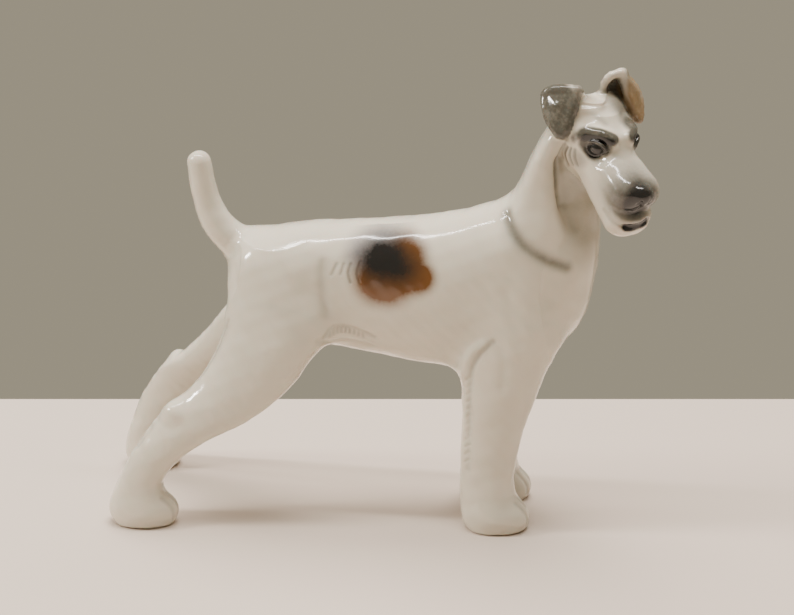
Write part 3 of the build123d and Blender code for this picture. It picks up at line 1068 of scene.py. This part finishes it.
def shader(name):
    """A new material, and a maker of nodes in it whose inputs are set or linked by name or _number."""
    material = bpy.data.materials.new(name)
    material.use_nodes = True
    tree = material.node_tree
    tree.nodes.clear()

    def node(kind, settings=None, **inputs):
        made = tree.nodes.new(kind)
        for key, value in (settings or {}).items():
            setattr(made, key, value)
        for key, value in inputs.items():
            socket = made.inputs[int(key[1:])] if key[1:].isdigit() else made.inputs[key.replace("_", " ")]
            if isinstance(value, bpy.types.NodeSocket):
                tree.links.new(value, socket)
            else:
                socket.default_value = value
        return made

    return material, node


def glaze_material():
    """Clear glaze over white porcelain, with underglaze paint and painted shade from the pieces' paint
    layers.
    """
    material, node = shader("glazed_porcelain")
    place = node("ShaderNodeTexCoord").outputs["Object"]
    cloud = node("ShaderNodeTexNoise", Vector=place, Scale=45.0, Detail=3.0, Roughness=0.5)
    grain = node("ShaderNodeTexNoise", Vector=place, Scale=900.0, Detail=3.0, Roughness=0.6).outputs["Fac"]
    ripple = node("ShaderNodeTexNoise", Vector=place, Scale=160.0, Detail=2.0, Roughness=0.5).outputs["Fac"]

    def mix(share, a, b):
        return node("ShaderNodeMix", {"data_type": "RGBA"}, _0=share, _6=a, _7=b).outputs[2]

    def broken(noise, break_up, load):
        """A strength around a load, up and down with a noise."""
        return node("ShaderNodeMath", {"operation": "MULTIPLY_ADD"}, _0=noise, _1=break_up,
                    _2=load - break_up / 2).outputs[0]

    def strength(paint, break_up):
        """A paint layer with its edge broken up by the brush."""
        layer = node("ShaderNodeAttribute", {"attribute_name": paint}).outputs["Fac"]
        brush = node("ShaderNodeMath", {"operation": "MULTIPLY"}, _0=broken(grain, break_up, PAINT_LOAD),
                     _1=broken(ripple, break_up, 1.0)).outputs[0]
        return node("ShaderNodeMath", {"operation": "MULTIPLY", "use_clamp": True},
                    _0=brush, _1=layer).outputs[0]

    colour = mix(cloud.outputs["Fac"], *PORCELAIN)
    for paint, break_up, pigment in PAINTS:
        colour = mix(strength(paint, break_up), colour, pigment)
    shine = node("ShaderNodeMapRange", Value=ripple, To_Min=0.10, To_Max=0.20)
    uneven = node("ShaderNodeMath", {"operation": "MULTIPLY_ADD"}, _0=ripple, _1=0.6, _2=grain).outputs[0]
    bump = node("ShaderNodeBump", Strength=0.05, Distance=0.0004, Height=uneven)
    surface = node("ShaderNodeBsdfPrincipled", Base_Color=colour, Roughness=shine.outputs["Result"],
                   Normal=bump.outputs["Normal"])
    surface.inputs["IOR"].default_value = 1.52
    surface.inputs["Subsurface Weight"].default_value = 0.12
    surface.inputs["Subsurface Scale"].default_value = 0.004
    surface.inputs["Coat Weight"].default_value = 0.4
    surface.inputs["Coat Roughness"].default_value = 0.04
    node("ShaderNodeOutputMaterial", Surface=surface.outputs["BSDF"])
    return material


def table_material():
    """Pale matt table top."""
    material, node = shader("table_top")
    place = node("ShaderNodeTexCoord").outputs["Object"]
    cloud = node("ShaderNodeTexNoise", Vector=place, Scale=6.0, Detail=3.0).outputs["Fac"]
    colour = node("ShaderNodeMix", {"data_type": "RGBA"}, _0=cloud, _6=TABLE_TOP[0], _7=TABLE_TOP[1])
    surface = node("ShaderNodeBsdfPrincipled", Base_Color=colour.outputs[2], Roughness=0.6)
    node("ShaderNodeOutputMaterial", Surface=surface.outputs["BSDF"])
    return material


# ---- the pieces ---------------------------------------------------------------------------------------
GLAZE = glaze_material()
sculpture = sculpt()
for casting in range(len(CASTINGS)):
    piece_of(casting, *sculpture)

# ---- table, light and camera ----------------------------------------------------------------------------
LOOK_FROM = Vector((0.1048, -0.7162, 0.3330))
LOOK_AT = Vector((0.0105, 0.0, 0.0843))
FOCAL_LENGTH, SENSOR = 88.4, 36.0  # millimetres
TABLE_TURN = 7.5  # degrees, so that its far edge is level in the view
TABLE_BEHIND = 0.1135  # from the dog to the table's far edge
TABLE_SIZE = (3.0, 1.6, 0.03)
ROOM = (0.345, 0.305, 0.225, 1)


def aim(thing, place, target):
    """Puts a lamp or a camera at a place and turns it to face a target."""
    thing.location = place
    thing.rotation_euler = (Vector(target) - Vector(place)).to_track_quat("-Z", "Y").to_euler()


def lay_table():
    """A slab whose top is at z = 0 and whose far edge is just behind the dog."""
    bpy.ops.mesh.primitive_cube_add(size=1)
    top = bpy.context.object
    top.name = "table"
    top.scale = TABLE_SIZE
    turn = np.radians(TABLE_TURN)
    away = TABLE_BEHIND - TABLE_SIZE[1] / 2
    top.rotation_euler = (0, 0, turn)
    top.location = (-np.sin(turn) * away, np.cos(turn) * away, -TABLE_SIZE[2] / 2)
    top.data.materials.append(table_material())


def area_light(name, place, target, size, power, colour, mirrored=True):
    """A soft lamp; one that isn't mirrored doesn't show in the glaze."""
    lamp = bpy.data.lights.new(name, "AREA")
    lamp.shape = "RECTANGLE"
    lamp.size, lamp.size_y = size
    lamp.energy = power
    lamp.color = colour
    holder = bpy.data.objects.new(name, lamp)
    bpy.context.scene.collection.objects.link(holder)
    aim(holder, place, target)
    holder.visible_glossy = mirrored


lay_table()
area_light("window", (-1.1, -0.25, 0.75), LOOK_AT, (0.2, 0.2), 11.0, (1.0, 0.96, 0.9))
area_light("strip", (-0.15, -0.16, 1.35), (-0.15, -0.02, 0.1), (1.7, 0.07), 18.0, (1.0, 0.96, 0.92))
area_light("ceiling", (0.05, 0.45, 1.5), (0.05, 0.0, 0.0), (0.9, 0.9), 38.0, (1.0, 0.93, 0.88), False)

world = bpy.data.worlds.new("room")
bpy.context.scene.world = world
world.use_nodes = True
world.node_tree.nodes["Background"].inputs["Color"].default_value = ROOM
world.node_tree.nodes["Background"].inputs["Strength"].default_value = 1.0

camera = bpy.data.cameras.new("camera")
camera.lens = FOCAL_LENGTH
camera.sensor_width = SENSOR
camera.clip_start = 0.01
eye = bpy.data.objects.new("camera", camera)
bpy.context.scene.collection.objects.link(eye)
aim(eye, LOOK_FROM, LOOK_AT)
bpy.context.scene.camera = eye
